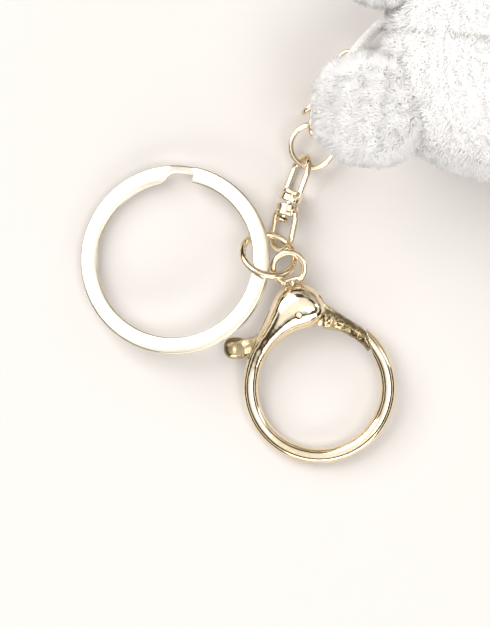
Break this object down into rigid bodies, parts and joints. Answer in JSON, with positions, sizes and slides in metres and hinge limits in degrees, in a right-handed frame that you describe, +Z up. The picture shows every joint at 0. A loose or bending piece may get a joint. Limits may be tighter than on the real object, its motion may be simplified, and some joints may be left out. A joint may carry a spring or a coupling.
{
  "type": "plush keychain",
  "caption": "Plush bear cub on a key chain: split ring and round spring clasp on a swivel, linked by a short chain to a cord loop sewn into the crown.",
  "frame": {"origin": "on the surface that the keychain lies on, under the middle of its bounding box", "axes": "+X from the split ring towards the bear's feet, +Y across the bear towards its left ear and arm, +Z up, the way the bear's face looks"},
  "size_m": [0.1548, 0.0918, 0.044],
  "materials": {
    "gold_plate": "polished pale champagne gold plate",
    "spring_steel": "bright drawn steel wire",
    "plush_pile": "short curly white plush pile",
    "filling": "white polyester fibre",
    "cord": "white braided polyester cord",
    "black_button": "glossy black safety button",
    "washer_plastic": "plain white plastic washer"
  },
  "bodies": {
    "plush": {"head_cover": "plush_pile", "head_filling": "filling", "body_cover": "plush_pile", "body_filling": "filling", "muzzle": "plush_pile", "nose": "black_button", "tail": "plush_pile", "ear_left": "plush_pile", "ear_right": "plush_pile", "arm_left": "plush_pile", "arm_right": "plush_pile", "leg_left": "plush_pile", "leg_right": "plush_pile", "eye_left": "black_button", "eye_right": "black_button", "eye_washer_left": "washer_plastic", "eye_washer_right": "washer_plastic", "cord_loop": "cord"},
    "cord_link": {"cord_link": "gold_plate"},
    "chain_link_3": {"chain_link_3": "gold_plate"},
    "chain_link_2": {"chain_link_2": "gold_plate"},
    "chain_link_1": {"chain_link_1": "gold_plate"},
    "small_ring": {"small_split_ring": "gold_plate"},
    "upper_link": {"swivel_upper_link": "gold_plate", "swivel_pin": "gold_plate"},
    "lower_link": {"swivel_lower_link": "gold_plate"},
    "jump_ring": {"main_jump_ring": "gold_plate"},
    "split_ring": {"split_ring": "gold_plate"},
    "clasp_eye": {"clasp_eye": "gold_plate"},
    "clasp": {"clasp_body": "gold_plate", "clasp_pivot_pin": "gold_plate", "clasp_spring": "spring_steel"},
    "lever": {"clasp_lever": "gold_plate"}
  },
  "joints": [
    {"name": "cord_link_swing", "type": "hinge", "parent": "plush", "child": "cord_link", "pos_m": [-0.03538, 0.01768, 0.00445], "axis": [0.02, 0.04, 0.999], "range_deg": [-30, 40]},
    {"name": "chain_link_3_swing", "type": "hinge", "parent": "cord_link", "child": "chain_link_3", "pos_m": [-0.03608, 0.01538, 0.00355], "axis": [0.8495, -0.4026, 0.341], "range_deg": [-10, 40]},
    {"name": "chain_link_2_swing", "type": "hinge", "parent": "chain_link_3", "child": "chain_link_2", "pos_m": [-0.03883, 0.01268, 0.00455], "axis": [0.5387, -0.6861, -0.489], "range_deg": [-12, 30]},
    {"name": "chain_link_1_swing", "type": "hinge", "parent": "chain_link_2", "child": "chain_link_1", "pos_m": [-0.03905, 0.01288, 0.00286], "axis": [0.7345, 0.678, 0.0282], "range_deg": [-7, 7]},
    {"name": "small_ring_swing", "type": "hinge", "parent": "chain_link_1", "child": "small_ring", "pos_m": [-0.04063, 0.00698, 0.00325], "axis": [0.4577, -0.0635, -0.8868], "range_deg": [-15, 35]},
    {"name": "upper_link_swing", "type": "hinge", "parent": "small_ring", "child": "upper_link", "pos_m": [-0.04158, 0.00168, 0.00315], "axis": [0.96, -0.28, 0], "range_deg": [-14, 10]},
    {"name": "swivel_spin", "type": "hinge", "parent": "upper_link", "child": "lower_link", "pos_m": [-0.04453, -0.00462, 0.00265], "axis": [0.3465, 0.9362, 0.0584], "continuous": true},
    {"name": "jump_ring_swing", "type": "hinge", "parent": "lower_link", "child": "jump_ring", "pos_m": [-0.04471, -0.01169, 0.00331], "axis": [-0.6037, 0.1207, -0.788], "range_deg": [-40, 10]},
    {"name": "split_ring_swing", "type": "hinge", "parent": "jump_ring", "child": "split_ring", "pos_m": [-0.05053, -0.01008, 0.00406], "axis": [-0.6554, -0.4794, 0.5837], "range_deg": [-24, 0]},
    {"name": "clasp_eye_swing", "type": "hinge", "parent": "jump_ring", "child": "clasp_eye", "pos_m": [-0.04313, -0.01348, 0.00493], "axis": [0.0994, 0.7451, -0.6595], "range_deg": [-17, 7]},
    {"name": "clasp_spin", "type": "hinge", "parent": "clasp_eye", "child": "clasp", "pos_m": [-0.04295, -0.02198, 0.00439], "axis": [-0.2163, 0.9681, 0.1264], "continuous": true},
    {"name": "lever_press", "type": "hinge", "parent": "clasp", "child": "lever", "pos_m": [-0.04295, -0.02198, 0.00439], "axis": [0.0254, 0.135, -0.9905], "range_deg": [0, 25], "stiffness_Nm_per_rad": 0.02, "springref_deg": -28.65}
  ]
}
